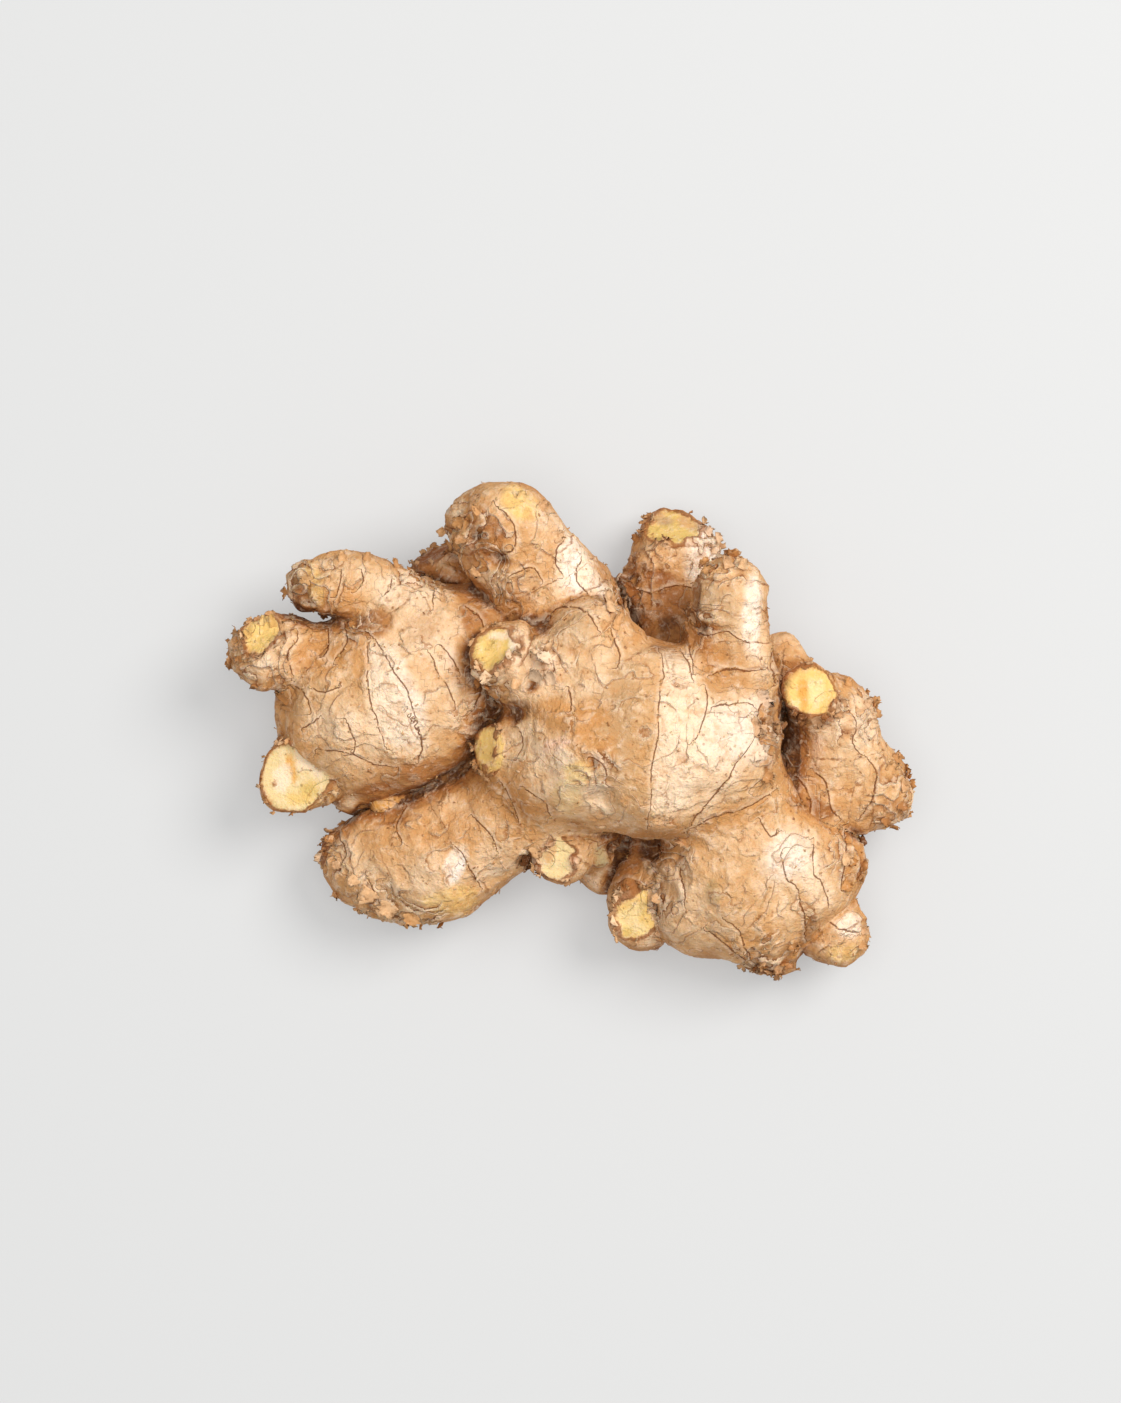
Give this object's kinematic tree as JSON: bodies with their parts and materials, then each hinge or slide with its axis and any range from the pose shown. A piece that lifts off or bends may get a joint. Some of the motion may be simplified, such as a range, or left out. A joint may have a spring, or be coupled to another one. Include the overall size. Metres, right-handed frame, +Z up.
{
  "type": "ginger root",
  "caption": "Fresh ginger hand lying down: fat knobbly lobes grown together, with short fingers, ringed tan skin, papery scales and pale yellow cut tips.",
  "frame": {"origin": "middle of the hand's outline as seen from above, on the surface that it lies on", "axes": "+Z up, +X along the hand from the left fingers to the right knob, +Y across it towards the top finger"},
  "size_m": [0.1484, 0.1078, 0.0494],
  "materials": {
    "ginger_skin": "dry matte skin, tan with brown rings, and pale yellow where it is cut"
  },
  "bodies": {
    "root": {"ginger_rhizome": "ginger_skin"}
  },
  "joints": []
}
